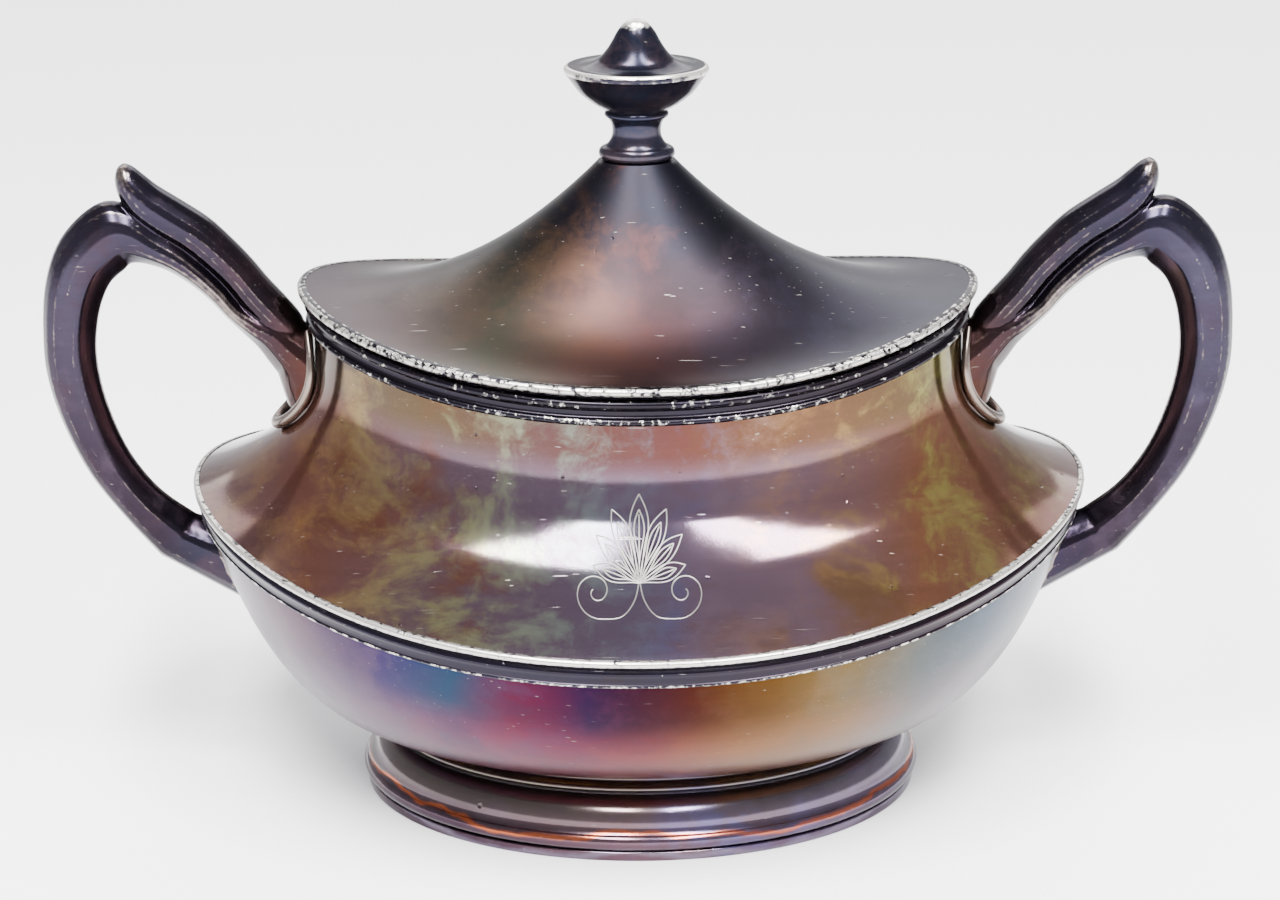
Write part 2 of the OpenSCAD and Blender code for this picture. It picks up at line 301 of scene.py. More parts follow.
def stainsAndPaintedLight(tree, recipe, spot, patch):
    # two rows of colours by height, then patches, blooms and rings of other colours over them; the rows hold
    # a painted reflection on the shoulder, painted shade on the lid's crown and a painted highlight on the
    # foot, and two of the foot's rings are a painted highlight and a painted reflection
    cloud = noise(tree, spot, recipe["cloud"], 4, output="Color")
    offset = addNode(tree, "ShaderNodeVectorMath", {0: cloud, 1: (0.5, 0.5, 0.5)}, operation="SUBTRACT")
    offset = addNode(tree, "ShaderNodeVectorMath", {0: offset.outputs[0], "Scale": recipe["wander"]},
                     operation="SCALE")
    wandered = addNode(tree, "ShaderNodeVectorMath", {0: spot, 1: offset.outputs[0]},
                       operation="ADD").outputs[0]
    straight, astray = split(tree, spot), split(tree, wandered)
    reach = recipe["reach"]
    along = addNode(tree, "ShaderNodeMapRange", {0: astray["X"], 1: -reach, 2: reach}).outputs[0]
    # heights are told from the saddle of the rims, not from the table
    rise, halfLength = recipe["saddle"]
    share = calc(tree, "DIVIDE", calc(tree, "ABSOLUTE", straight["X"]), halfLength)
    saddle = times(tree, calc(tree, "POWER", share, sheet["saddlePower"]), rise)
    settled = minus(tree, mixValues(tree, 0.35, straight["Z"], astray["Z"]), saddle)
    up = between(tree, settled, *recipe["heights"])
    colour = blendColours(tree, up, colourRow(tree, along, recipe["lower"], recipe["lowerTint"]),
                          colourRow(tree, along, recipe["upper"], recipe["upperTint"]))
    bloom = noise(tree, wandered, recipe["bloom"], 6, 0.7)
    spreads = [(between(tree, patch, *recipe["patchEdge"]), "patchStrength", "patchStain", "upperTint"),
               (between(tree, bloom, 0.46, 0.66), "bloomStrength", "bloomStain", "lowerTint")]
    for spread, strength, row, tint in spreads:
        second = colourRow(tree, along, recipe[row], recipe[tint])
        colour = blendColours(tree, times(tree, spread, recipe[strength]), colour, second)
    for low, high, code, strength in recipe["bands"]:
        away = calc(tree, "ABSOLUTE", minus(tree, astray["Z"], (low + high) / 2))
        inBand = minus(tree, 1.0, between(tree, away, 0.0, (high - low) / 2))
        colour = blendColours(tree, times(tree, inBand, strength), colour, paint(code))
    return colour


def pits(tree, recipe, spot):
    cells = addNode(tree, "ShaderNodeTexVoronoi", {"Vector": spot, "Scale": recipe["pits"]})
    lot = addNode(tree, "ShaderNodeSeparateColor", {0: cells.outputs["Color"]}).outputs[0]
    pit = minus(tree, 1.0, between(tree, cells.outputs["Distance"], 0.02, 0.11))
    return times(tree, pit, calc(tree, "GREATER_THAN", lot, 0.72))


def scratches(tree, recipe, spot):
    # short fine lines in three directions
    found = 0.0
    for turn in ((0, 24, 8), (0, -38, -20), (0, 75, 35)):
        lines = noise(tree, turned(tree, spot, turn, (0.14, 3.2, 3.2)), 1.0, 1, 0.4)
        found = calc(tree, "MAXIMUM", found, between(tree, lines, 0.77, 0.83))
    return times(tree, found, recipe["scratch"])


def edgesAndCreases(tree, recipe, spot):
    # bright where an edge stands out, which is wear and on the handles also a painted highlight along the
    # ridges; darker in a crease
    edge = marked(tree, "edge")
    ragged = noise(tree, spot, 1.1, 4, 0.65)
    reached = plus(tree, edge, swing(tree, ragged, 0, recipe["ragged"]))
    rubAndGlint = between(tree, minus(tree, reached, marked(tree, "shielded")), *recipe["rubAndGlint"])
    rubAndGlint = times(tree, rubAndGlint, recipe["rubAndGlintStrength"])
    for low, high in recipe["rubbed"]:
        height = plus(tree, split(tree, spot)["Z"], swing(tree, ragged, 0, 1.6))
        above = between(tree, height, low - 0.25, low + 0.25)
        below = minus(tree, 1.0, between(tree, height, high - 0.25, high + 0.25))
        rubAndGlint = calc(tree, "MAXIMUM", rubAndGlint, times(tree, above, below))
    return rubAndGlint, between(tree, times(tree, edge, -1.0), *recipe["crease"])


def tarnishAndPaintedLight(name, recipe):
    # old silver plate with its stains, streaks, pits, scratches and wear, and on the shoulder, lid, foot and
    # handles also painted light
    material = bpy.data.materials.new(name)
    material.use_nodes = True
    tree = material.node_tree
    tree.nodes.clear()
    metres = addNode(tree, "ShaderNodeTexCoord").outputs["Object"]
    spot = turned(tree, metres, (0, 0, 0), (1 / mm, 1 / mm, 1 / mm))
    patch = noise(tree, spot, recipe["patch"], 5, 0.6)
    colour = stainsAndPaintedLight(tree, recipe, spot, patch)
    # streaks round the body from years of polishing, and a fine grain
    streak = noise(tree, turned(tree, spot, (0, 0, 0), (0.05, 0.05, 1.4)), 1.0, 3)
    grain = noise(tree, spot, 2.6, 3, 0.7)
    shade = times(tree, swing(tree, streak, 1, recipe["streak"]), swing(tree, grain, 1, recipe["grain"]))
    grey = addNode(tree, "ShaderNodeCombineColor", {0: shade, 1: shade, 2: shade}).outputs[0]
    colour = blendColours(tree, 1.0, colour, grey, "MULTIPLY")
    pit, scratch = pits(tree, recipe, spot), scratches(tree, recipe, spot)
    rubAndGlint, crease = edgesAndCreases(tree, recipe, spot)
    # creases are made darker with a near-black tone
    marks = [(times(tree, pit, 0.75), tones["pit"]), (scratch, tones["scratch"]),
             (times(tree, crease, 0.8), tones["creaseDark"]), (rubAndGlint, recipe["bright"])]
    for amount, code in marks:
        colour = blendColours(tree, amount, colour, paint(code))
    # the inside is duller and greyer
    inside = marked(tree, "inside")
    dull = blendColours(tree, patch, paint(tones["inside"]), paint(tones["insidePatch"]))
    colour = blendColours(tree, inside, colour, dull)
    rough = swing(tree, patch, recipe["rough"], recipe["roughSpread"])
    for amount, more in ((scratch, 0.12), (rubAndGlint, 0.06), (inside, 0.15)):
        rough = plus(tree, rough, times(tree, amount, more))
    relief = times(tree, noise(tree, spot, 0.05, 2), recipe["ripple"])
    for amount, height in ((grain, recipe["tooth"]), (scratch, -0.02), (pit, -0.05), (rubAndGlint, -0.03)):
        relief = plus(tree, relief, times(tree, amount, height))
    bump = addNode(tree, "ShaderNodeBump", {"Height": relief, "Strength": 1.0, "Distance": mm})
    surface = addNode(tree, "ShaderNodeBsdfPrincipled", {
        "Base Color": colour, "Metallic": recipe["metal"], "Roughness": rough, "Normal": bump.outputs[0]})
    output = addNode(tree, "ShaderNodeOutputMaterial")
    tree.links.new(surface.outputs[0], output.inputs[0])
    return material


# rows of colours run from the left handle to the right one; sizes of noise are per millimetre
plain = {
    "cloud": 0.035, "wander": 26,                # how finely and how far the stains wander
    "reach": 68, "heights": (30, 42),            # a row's half-length; from the lower row to the upper
    "saddle": (0, 60),                           # rise of the rims, and at what half-length
    "lowerTint": (1, 1, 1), "upperTint": (1, 1, 1),
    "patch": 0.09, "patchEdge": (0.5, 0.68), "patchStrength": 0.6,
    "bloom": 0.16, "bloomStrength": 0.5, "bloomStain": [(0.0, "6a5560"), (0.5, "5c4a48"), (1.0, "665868")],
    "bands": [],                                 # from height, to height, colour, strength
    "streak": 0.25, "grain": 0.18, "pits": 0.22, "scratch": 0.2,
    "ragged": 0.9, "rubAndGlint": (0.9, 1.1), "rubAndGlintStrength": 1.0, "crease": (0.5, 1.4),   # curvatures, per mm
    "rubbed": [],                                # from height, to height
    "bright": "c9c6bf", "metal": 0.82,
    "rough": 0.26, "roughSpread": 0.12, "ripple": 0.25, "tooth": 0.004,
}

bellyFinish = dict(
    plain, wander=16, heights=(21, 30), saddle=(9, 66),
    upper=[(0.0, "a48fae"), (0.14, "9a5a84"), (0.24, "5a3a9a"), (0.31, "3a6a9a"), (0.37, "a01a5a"),
           (0.44, "4a1060"), (0.50, "5a1040"), (0.56, "7a2a10"), (0.64, "a87020"), (0.72, "d0a860"),
           (0.80, "9ea6a2"), (0.88, "5f82a6"), (1.0, "a090ac")],
    lower=[(0.0, "b098ae"), (0.20, "8a5a8a"), (0.32, "a83a70"), (0.42, "b03058"), (0.52, "c0504a"),
           (0.62, "d08a48"), (0.72, "d09a60"), (0.82, "a8949a"), (1.0, "b09cb0")],
    patchStain=[(0.0, "a493b4"), (0.3, "5a3f86"), (0.5, "7f3a40"), (0.7, "d1b58a"), (0.85, "86a2b8"),
                (1.0, "a294b2")],
    patchStrength=0.45, rough=0.3, pits=0.12, lowerTint=(0.175, 0.17, 0.18), upperTint=(0.12, 0.12, 0.12),
    bloom=0.12, bloomStrength=0.4, metal=0.95,
    bloomStain=[(0.0, "a890b0"), (0.2, "9a6a8a"), (0.3, "6a7a9a"), (0.42, "7a2a6a"), (0.55, "7a3a3a"),
                (0.68, "c08a4a"), (0.8, "b0b0a0"), (0.9, "6a8aa0"), (1.0, "9a8aa8")],
)
# on the shoulder, the change from the lower row of colours to the upper between 58 and 64 mm is a painted
# reflection: it stands in for the edge of the pale floor's reflection on the neck
shoulderColoursAndReflection = dict(
    plain, cloud=0.04, wander=18, heights=(58, 64), saddle=(9.6, 62),
    lower=[(0.0, "6b4a4c"), (0.15, "6a3a30"), (0.3, "5c3f46"), (0.5, "5b4250"), (0.66, "6f4c54"),
           (0.8, "7c4632"), (0.92, "6a3f34"), (1.0, "8a5a56")],
    upper=[(0.0, "8a7474"), (0.16, "8f7660"), (0.28, "84683e"), (0.4, "86584a"), (0.55, "8f4b3c"),
           (0.68, "9a6840"), (0.8, "8b6f3c"), (0.9, "7a5f40"), (1.0, "8a5a5c")],
    patchStain=[(0.0, "7f4a38"), (0.3, "a8622c"), (0.5, "8a4838"), (0.7, "b08038"), (1.0, "6d4238")],
    patch=0.05, patchStrength=0.65, rough=0.1, roughSpread=0.06, pits=0.3, grain=0.3, scratch=0.3,
    lowerTint=(0.56, 0.76, 0.8), upperTint=(0.2, 0.21, 0.27),
    bloom=0.075, bloomStrength=0.65,
    bloomStain=[(0.0, "7a5a50"), (0.15, "8f5a34"), (0.3, "8a7a50"), (0.42, "7a7668"), (0.55, "5a4a66"),
                (0.68, "9a6038"), (0.8, "9a8240"), (0.92, "84683c"), (1.0, "8a6470")],
)
# on the lid, the upper row is much darker than the lower: partly tarnish and partly painted shade standing in
# for the dim ceiling that the crown reflects
lidColoursAndShade = dict(
    plain, cloud=0.03, wander=24, reach=52, heights=(76, 92),
    lower=[(0.0, "93787c"), (0.16, "927a6c"), (0.3, "7d7a5c"), (0.42, "8a5c48"), (0.52, "6f4440"),
           (0.66, "4c3a42"), (0.8, "544e60"), (1.0, "5c586c")],
    upper=[(0.0, "584e5e"), (0.3, "4f3f48"), (0.5, "4f4c5e"), (0.7, "3c3a4c"), (1.0, "4a485c")],
    patchStain=[(0.0, "8f6f58"), (0.3, "77603f"), (0.5, "8a4f38"), (0.7, "454054"), (1.0, "4f4b60")],
    patch=0.06, patchStrength=0.45, rough=0.36, roughSpread=0.12, scratch=0.3, pits=0.35,
    lowerTint=(0.13, 0.125, 0.155), upperTint=(0.03, 0.03, 0.055),
    bloom=0.07, bloomStrength=0.7,
    bloomStain=[(0.0, "a08288"), (0.2, "a08a70"), (0.35, "9a7a50"), (0.48, "8a4a34"), (0.6, "5a4450"),
                (0.8, "5c5a72"), (1.0, "6a667c")],
)
wireFinish = dict(
    plain, heights=(40, 70), cloud=0.06, wander=14,
    lower=[(0.0, "6c687c"), (0.3, "5a566e"), (0.5, "565066"), (0.7, "6a5866"), (0.85, "7a5a60"),
           (1.0, "6c687c")],
    upper=[(0.0, "5a5460"), (0.3, "4c4858"), (0.5, "4a4654"), (0.7, "564a54"), (1.0, "5a5460")],
    patchStain=[(0.0, "5c4a50"), (0.5, "5a5a78"), (1.0, "7a5450")],
    rough=0.2, ripple=0.1, ragged=1.5, rubAndGlint=(0.62, 0.8), crease=(0.3, 0.9), rubAndGlintStrength=0.8,
    lowerTint=(0.08, 0.07, 0.09), upperTint=(0.08, 0.07, 0.09),
)
footColoursAndPaintedLight = dict(
    plain, heights=(2, 12), cloud=0.05, wander=6,
    lower=[(0.0, "5c4a4a"), (0.3, "453038"), (0.5, "6b4c50"), (0.7, "5c4650"), (1.0, "4a4450")],
    upper=[(0.0, "4c3c38"), (0.3, "54463c"), (0.5, "5c4a40"), (0.7, "5a4c4c"), (1.0, "4c4450")],
    patchStain=[(0.0, "3c3a58"), (0.3, "6a3f2c"), (0.6, "4a4264"), (1.0, "7a5238")],
    # painted light on the foot: the gold ring from 11 to 13.6 mm is a painted highlight on the bead at its
    # top, and the orange ring from 3.5 to 4.5 mm is a painted reflection in the groove
    bands=[(11.0, 13.6, "b98a3e", 0.8), (3.5, 4.5, "a8521e", 0.6), (0.0, 1.8, "6b6272", 0.7)],
    rough=0.15, roughSpread=0.08, ripple=0.06, rubAndGlint=(1.9, 2.4), crease=(0.3, 1.0),
    # the upper row is brighter than the lower to help the painted highlight on the top bead
    lowerTint=(0.6, 0.68, 0.8), upperTint=(1.0, 1.3, 1.4), metal=0.92,
)
handleColoursAndHighlight = dict(
    plain, cloud=0.07, wander=10, reach=90, heights=(40, 84),
    lower=[(0.0, "5c505c"), (0.1, "4e4450"), (0.17, "4b5a70"), (0.22, "a05a2a"), (0.5, "8a5a40"),
           (0.78, "a06030"), (0.83, "54506a"), (0.9, "4e4650"), (1.0, "5c5460")],
    upper=[(0.0, "5c5868"), (0.1, "474454"), (0.2, "40363c"), (0.3, "544438"), (0.5, "54443c"),
           (0.7, "544034"), (0.8, "403a40"), (0.9, "444456"), (1.0, "5a5a6c")],
    patchStain=[(0.0, "6a5f70"), (0.2, "5a4448"), (0.5, "8a5a30"), (0.8, "5a4448"), (1.0, "66647c")],
    # the edge wear settings here also paint a highlight: thin light lines along the ridges of the loop
    patch=0.12, rough=0.2, ripple=0.05, ragged=0.5, rubAndGlint=(0.26, 0.6), rubAndGlintStrength=0.4, crease=(0.3, 1.0),
    bright="a3968c", metal=0.95,
    lowerTint=(0.17, 0.15, 0.17), upperTint=(0.26, 0.235, 0.26),
)
knobFinish = dict(
    plain, cloud=0.15, wander=4, reach=12, heights=(100, 110),
    lower=[(0.0, "3c3438"), (0.5, "2c3044"), (1.0, "3c3434")],
    upper=[(0.0, "3c3c4c"), (0.5, "34364a"), (1.0, "3a3a4c")],
    patchStain=[(0.0, "4a3c40"), (0.5, "2c3a52"), (1.0, "4a4046")],
    patch=0.25, rough=0.2, ripple=0.03, ragged=0.5, rubAndGlint=(0.55, 0.7), crease=(0.4, 1.2),
    rubbed=[(knobTop - 0.9, knobTop + 2)], lowerTint=(0.5, 0.48, 0.5), upperTint=(0.24, 0.23, 0.26),
)

engravedFinish = dict(wireFinish, rubAndGlint=(-9, -8), ragged=0.1, rubAndGlintStrength=0.45, rough=0.3)
nickelFinish = dict(
    plain, heights=(80, 110), reach=5, rough=0.3, patchStrength=0.3, rubAndGlintStrength=0.0,
    lower=[(0.0, "8c8a88"), (1.0, "98948e")], upper=[(0.0, "8c8a88"), (1.0, "98948e")],
    patchStain=[(0.0, "6a625c"), (1.0, "746a60")],
)

bellyTarnish = tarnishAndPaintedLight("belly_tarnish", bellyFinish)
shoulderTarnishAndReflection = tarnishAndPaintedLight("shoulder_tarnish_and_reflection", shoulderColoursAndReflection)
lidTarnishAndShade = tarnishAndPaintedLight("lid_tarnish_and_shade", lidColoursAndShade)
wornWire = tarnishAndPaintedLight("worn_wire", wireFinish)
footTarnishAndPaintedLight = tarnishAndPaintedLight("foot_tarnish_and_painted_light", footColoursAndPaintedLight)
handleTarnishAndHighlight = tarnishAndPaintedLight("handle_tarnish_and_highlight", handleColoursAndHighlight)
knobTarnish = tarnishAndPaintedLight("knob_tarnish", knobFinish)
engravedLine = tarnishAndPaintedLight("engraved_line", engravedFinish)
nickel = tarnishAndPaintedLight("nickel", nickelFinish)
print("finishes made")


def makeHoopTree():
    # sweeps an outline of [half-length, half-depth, height] points round a saddle-shaped oval
    tree, given, output = newTree("saddleHoop", [
        ("Outline", "Geometry"), ("Points Round", "Int"), ("Saddle Power", "Float"),
        ("Material", "Material")])
    outline = given.outputs["Outline"]
    size = addNode(tree, "GeometryNodeAttributeDomainSize", {0: outline}, component="MESH")
    count = size.outputs["Point Count"]
    around = plus(tree, given.outputs["Points Round"], 1.0)
    grid = addNode(tree, "GeometryNodeMeshGrid", {
        "Size X": 1.0, "Size Y": 1.0, "Vertices X": around, "Vertices Y": count})
    index = addNode(tree, "GeometryNodeInputIndex").outputs[0]
    step = calc(tree, "FLOOR", calc(tree, "DIVIDE", plus(tree, index, 0.5), count))
    row = minus(tree, index, times(tree, step, count))
    turn = times(tree, calc(tree, "DIVIDE", step, given.outputs["Points Round"]), 2 * math.pi)
    picked = {}
    kinds = {"place": "FLOAT_VECTOR", "rise": "FLOAT", "inside": "FLOAT", "shielded": "FLOAT"}
    for label, kind in kinds.items():
        sample = addNode(tree, "GeometryNodeSampleIndex", data_type=kind, domain="POINT")
        if label == "place":
            source = addNode(tree, "GeometryNodeInputPosition").outputs[0]
        else:
            named = addNode(tree, "GeometryNodeInputNamedAttribute", {"Name": label}, data_type=kind)
            source = named.outputs[0]
        tree.links.new(outline, sample.inputs["Geometry"])
        tree.links.new(source, sample.inputs["Value"])
        tree.links.new(row, sample.inputs["Index"])
        picked[label] = sample.outputs["Value"]
    at = split(tree, picked["place"])
    cosine, sine = calc(tree, "COSINE", turn), calc(tree, "SINE", turn)
    lift = calc(tree, "POWER", calc(tree, "ABSOLUTE", cosine), given.outputs["Saddle Power"])
    spot = addNode(tree, "ShaderNodeCombineXYZ", {
        "X": times(tree, at["X"], cosine),
        "Y": times(tree, at["Y"], sine),
        "Z": calc(tree, "MULTIPLY_ADD", picked["rise"], lift, at["Z"])})
    kept = addNode(tree, "GeometryNodeSetPosition", {
        "Geometry": grid.outputs["Mesh"], "Position": spot.outputs[0]})
    for label in ("inside", "shielded"):
        kept = addNode(tree, "GeometryNodeStoreNamedAttribute", {
            "Geometry": kept.outputs[0], "Name": label, "Value": picked[label]},
                       data_type="FLOAT", domain="POINT")
    closed = addNode(tree, "GeometryNodeMergeByDistance", {"Geometry": kept.outputs[0], "Distance": 1e-6})
    smooth = addNode(tree, "GeometryNodeSetShadeSmooth", {"Geometry": closed.outputs[0]})
    finishTree(tree, smooth.outputs[0], given.outputs["Material"], output)
    return tree


hoopTree = makeHoopTree()


def hoop(name, rows, material, inner=None, closed=True, shielded=None):
    # rows from inner[0] to inner[1] are the inside of a sheet; shielded tells how little a row is rubbed
    rows = list(rows) + ([rows[0]] if closed else [])
    first, last = inner or (len(rows), len(rows))
    host = bpy.data.meshes.new(name + "_outline")
    host.from_pydata([[value * mm for value in row[:3]] for row in rows],
                     [(i, i + 1) for i in range(len(rows) - 1)], [])
    setValues(host, "rise", [row[3] * mm for row in rows])
    setValues(host, "inside", [1.0 if first <= i < last else 0.0 for i in range(len(rows))])
    setValues(host, "shielded", (list(shielded or []) + [0.0] * len(rows))[:len(rows)])
    mesh = grow(name, host, hoopTree, {"Points Round": sheet["pointsRound"],
                                       "Saddle Power": sheet["saddlePower"], "Material": material})
    outwards(mesh)
    mesh.set_sharp_from_angle(angle=math.radians(50))
    markEdges(mesh)
    return mesh


lowerBowl = {
    "start": 38,             # angle at which the belly leaves the girdle
    "fullness": 0.87,        # 1 is an elliptical belly, less is fuller
    "settling": 1.2,         # how soon the rise at the ends dies away below the girdle
    "floorInset": 4.5,       # from the foot's widest to the flat floor
    "steps": 40,
}


def bellyRow(t):
    start = math.radians(lowerBowl["start"])
    turn = mix(start, math.pi / 2, t)
    side = max(0, math.cos(turn) / math.cos(start)) ** lowerBowl["fullness"]
    drop = (math.sin(turn) - math.sin(start)) / (1 - math.sin(start))
    return (mix(footA - lowerBowl["floorInset"], girdleA - sheet["girdleProud"], side),
            mix(footB - lowerBowl["floorInset"], girdleB - sheet["girdleProud"], side),
            mix(girdleZ - sheet["girdleBand"], footZ, drop),
            sheet["girdleRise"] * (1 - drop) ** lowerBowl["settling"])


def makeLowerBowl():
    steps = lowerBowl["steps"]
    seam = (girdleA - sheet["girdleProud"], girdleB - sheet["girdleProud"],
            girdleZ - sheet["girdleBand"] / 2, sheet["girdleRise"])
    outer = [seam] + [bellyRow(i / steps) for i in range(steps + 1)]
    inner = inset(outer, -sheet["wall"])
    rows = [(0, 0, footZ, 0)] + outer[::-1] + inner + [(0, 0, inner[-1][2], 0)]
    mesh = hoop("lower_bowl_sheet", rows, bellyTarnish, inner=(len(outer) + 1, len(rows)), closed=False)
    place(mesh, "lower_bowl_sheet", "bowl", "belly_sheet", "lower_bowl")


upperBody = {
    "sweep": 3.4,            # how sharply the shoulder sweeps up into the neck
    "inGirdle": 0.9,         # from the girdle's edge in to the sheet's
    "crowding": 1.3,         # more than 1 puts more rows near the girdle, where the sheet bends
    "underLip": 1.2,         # from the collar's top down to the sheet's
    "steps": 48,
}


def shoulderRow(h):
    side = (1 - h) ** upperBody["sweep"]
    inner = upperBody["inGirdle"]
    return (mix(neckA, girdleA - inner, side), mix(neckB, girdleB - inner, side),
            mix(girdleZ, neckZ, h), mix(sheet["girdleRise"], sheet["mouthRise"], h))


def makeUpperBody():
    steps = upperBody["steps"]
    top = (neckA, neckB, neckZ + sheet["collarHeight"] - upperBody["underLip"], sheet["mouthRise"])
    outer = [shoulderRow((i / steps) ** upperBody["crowding"]) for i in range(steps + 1)] + [top]
    inner = inset(outer, sheet["wall"])[::-1]
    mesh = hoop("upper_body_sheet", outer + inner, shoulderTarnishAndReflection,
                inner=(len(outer), len(outer) + len(inner)))
    place(mesh, "upper_body_sheet", "bowl", "shoulder_sheet", "upper_body")


# points of an outline are steps outwards and upwards from the edge that the piece hangs on
girdle = {
    "roll": 0.55,            # radius of the roll on top
    "rollDrop": 0.45,
    "ridge": [(-0.75, -1.5), (-0.5, -2.1), (-0.75, -2.7), (-1, -3.4)],
    "bead": 0.3,             # radius of the bead below
    "beadInset": 1.2,
    "seat": 0.85,            # from the edge in to the shoulder's sheet
    "rubbedAbove": -1.1,
    "hiddenBelow": -3.4,
}


def makeGirdle():
    roll, bead, seat = girdle["roll"], girdle["bead"], girdle["seat"]
    band, gap, lap = sheet["girdleBand"], sheet["solderGap"], sheet["topGap"]
    back, shelf = gap - sheet["girdleProud"], -sheet["wall"] - 0.3
    outside = ([(-seat, lap)] + arc(-roll, -girdle["rollDrop"], roll, 84, -50, 12)
               + flowing(girdle["ridge"], 4) + arc(-girdle["beadInset"], bead + gap - band, bead, 60, -90, 8))
    inside = [(back, lap - band), (back, shelf), (-seat, shelf)]
    edge = (girdleA, girdleB, girdleZ, sheet["girdleRise"])
    shielded = [0.0 if up > girdle["rubbedAbove"] else 0.5 if up > girdle["hiddenBelow"] else 1.0
                for out, up in outside]
    rows = [shifted(edge, step) for step in outside + inside]
    mesh = hoop("girdle_wire", rows, wornWire, shielded=shielded)
    place(mesh, "girdle_wire", "bowl", "worn_wire", "girdle_moulding")


collar = {
    "lowBead": 0.55,
    "highBead": 0.8,
    "groove": [(-0.92, 1.35), (-1, 1.7), (-1, 2.2), (-0.8, 2.5)],     # from the collar's widest
    "lap": 1.15,             # how far it laps down over the sheet's top edge
    "rubbedAbove": 1.3,
}


def makeCollar():
    proud, tall, wall = sheet["collarProud"], sheet["collarHeight"], sheet["wall"]
    low, high, gap = collar["lowBead"], collar["highBead"], sheet["solderGap"]
    outside = ([(gap, 0)] + arc(proud - low - 0.2, low + 0.1, low, -90, 80, 12)
               + flowing([(proud + out, up) for out, up in collar["groove"]], 3)
               + arc(proud - high, tall - high - 0.5, high, -60, 90, 14) + [(proud - 1.1, tall)])
    lip = [(-wall, tall), (-wall, tall - collar["lap"]), (gap, tall - collar["lap"])]
    base = (neckA, neckB, neckZ, sheet["mouthRise"])
    shielded = [0.35 if up < collar["rubbedAbove"] else 0.12 for out, up in outside]
    rows = [shifted(base, step) for step in outside + lip]
    mesh = hoop("mouth_wire", rows, wornWire, shielded=shielded)
    place(mesh, "mouth_wire", "bowl", "worn_wire", "mouth_collar")


foot = {
    "floor": 1.5,                          # lower edge, just over the flat wire
    "roll": 1.45,                          # radius of the roll at the widest
    "dome": (-5.1, 4.6, 4.0, 4.8),         # middle and two reaches of the domed step
    "bead": (-4.4, 10, 0.45),              # middle and radius of the bead over the dome
    "neck": [(-4.9, 10.6), (-5.3, 10.9), (-5.2, 11.7)],
    "inside": [(-6.7, 9.8), (-3.4, 6.8), (-2.6, 4.6), (-2.9, 1.5)],
}


def makeFoot():
    roll, floor, top = foot["roll"], foot["floor"], footZ - sheet["solderGap"]
    out, up, reach, tall = foot["dome"]
    dome = [(out + reach * x, up + tall * y) for x, y in arc(0, 0, 1, 5, 75, 16)]
    outside = ([(-0.9, floor)] + arc(-roll, floor + roll, roll, -60, 60, 14) + dome
               + arc(*foot["bead"], -40, 80, 8)
               + flowing(foot["neck"] + [(-4.9, top - 0.85), (-5, top - 0.3)], 3) + [(-5.6, top)])
    inside = [(-7.2, top)] + foot["inside"]
    rows = [shifted((footA, footB, 0, 0), step) for step in outside + inside]
    mesh = hoop("foot_sheet_stepped", rows, footTarnishAndPaintedLight, inner=(len(outside), len(rows)))
    place(mesh, "foot_sheet_stepped", "bowl", "foot_sheet", "foot_ring")


baseWire = {"height": 1.45, "outer": -0.6, "inner": -3.0, "round": 0.25}


def makeBaseWire():
    r = baseWire["round"]
    outer, inner, top = baseWire["outer"] - r, baseWire["inner"] + r, baseWire["height"] - r
    outline = (arc(outer, r, r, -90, 0, 4) + arc(outer, top, r, 0, 90, 4)
               + arc(inner, top, r, 90, 180, 4) + arc(inner, r, r, 180, 270, 4))
    mesh = hoop("foot_wire_flat", [shifted((footA, footB, 0, 0), step) for step in outline], footTarnishAndPaintedLight)
    place(mesh, "foot_wire_flat", "bowl", "foot_sheet", "foot_base_wire")


makeLowerBowl()
makeUpperBody()
makeGirdle()
makeCollar()
makeFoot()
makeBaseWire()
print("body, mouldings and foot made")


lid = {
    "rimWire": 1.3,
    "crownHeight": 25.0,
    "crownPeak": 0.54,       # how early the crown climbs
    "crownSwell": 0.855,     # how full it is under the knob
    "seatR": 5.6,            # half-length of the flat seat under the knob
    "holeR": 1.75,
    "steps": 70,
    "flangeDepth": 4.0,
    "flangeGap": 0.5,
    "flangeRound": 0.3,
}
lidZ = lidTopAtEnds - sheet["mouthRise"] - lid["rimWire"]
lidTop = lidZ + lid["rimWire"] - sheet["topGap"]
edgeA, edgeB = lidA - lid["rimWire"], lidB - lid["rimWire"]
knobOval = knobB / knobR
seatX = lid["seatR"] / edgeA


def crown(x):
    return ((1 + math.cos(math.pi * x ** lid["crownPeak"])) / 2) ** lid["crownSwell"]


def lidRow(x):
    out = max(0, (x - seatX) / (1 - seatX))
    return (edgeA * x, edgeA * x * mix(knobOval, edgeB / edgeA, x),
            lidTop + lid["crownHeight"] * crown(x) / crown(seatX), sheet["mouthRise"] * out ** 1.5)


def makeLid():
    steps = lid["steps"]
    slope = [lidRow(mix(1, seatX, (i / steps) ** 0.9)) for i in range(steps + 1)]
    inner = inset(slope, sheet["wall"])[::-1]
    hole = [(lid["holeR"], lid["holeR"], z, 0) for z in (seatZ, seatZ - sheet["wall"])]
    mesh = hoop("lid_sheet_domed", slope + hole + inner, lidTarnishAndShade,
                inner=(len(slope) + 1, len(slope) + 2 + len(inner)))
    place(mesh, "lid_sheet_domed", "lid", "lid_sheet", "lid_shell")


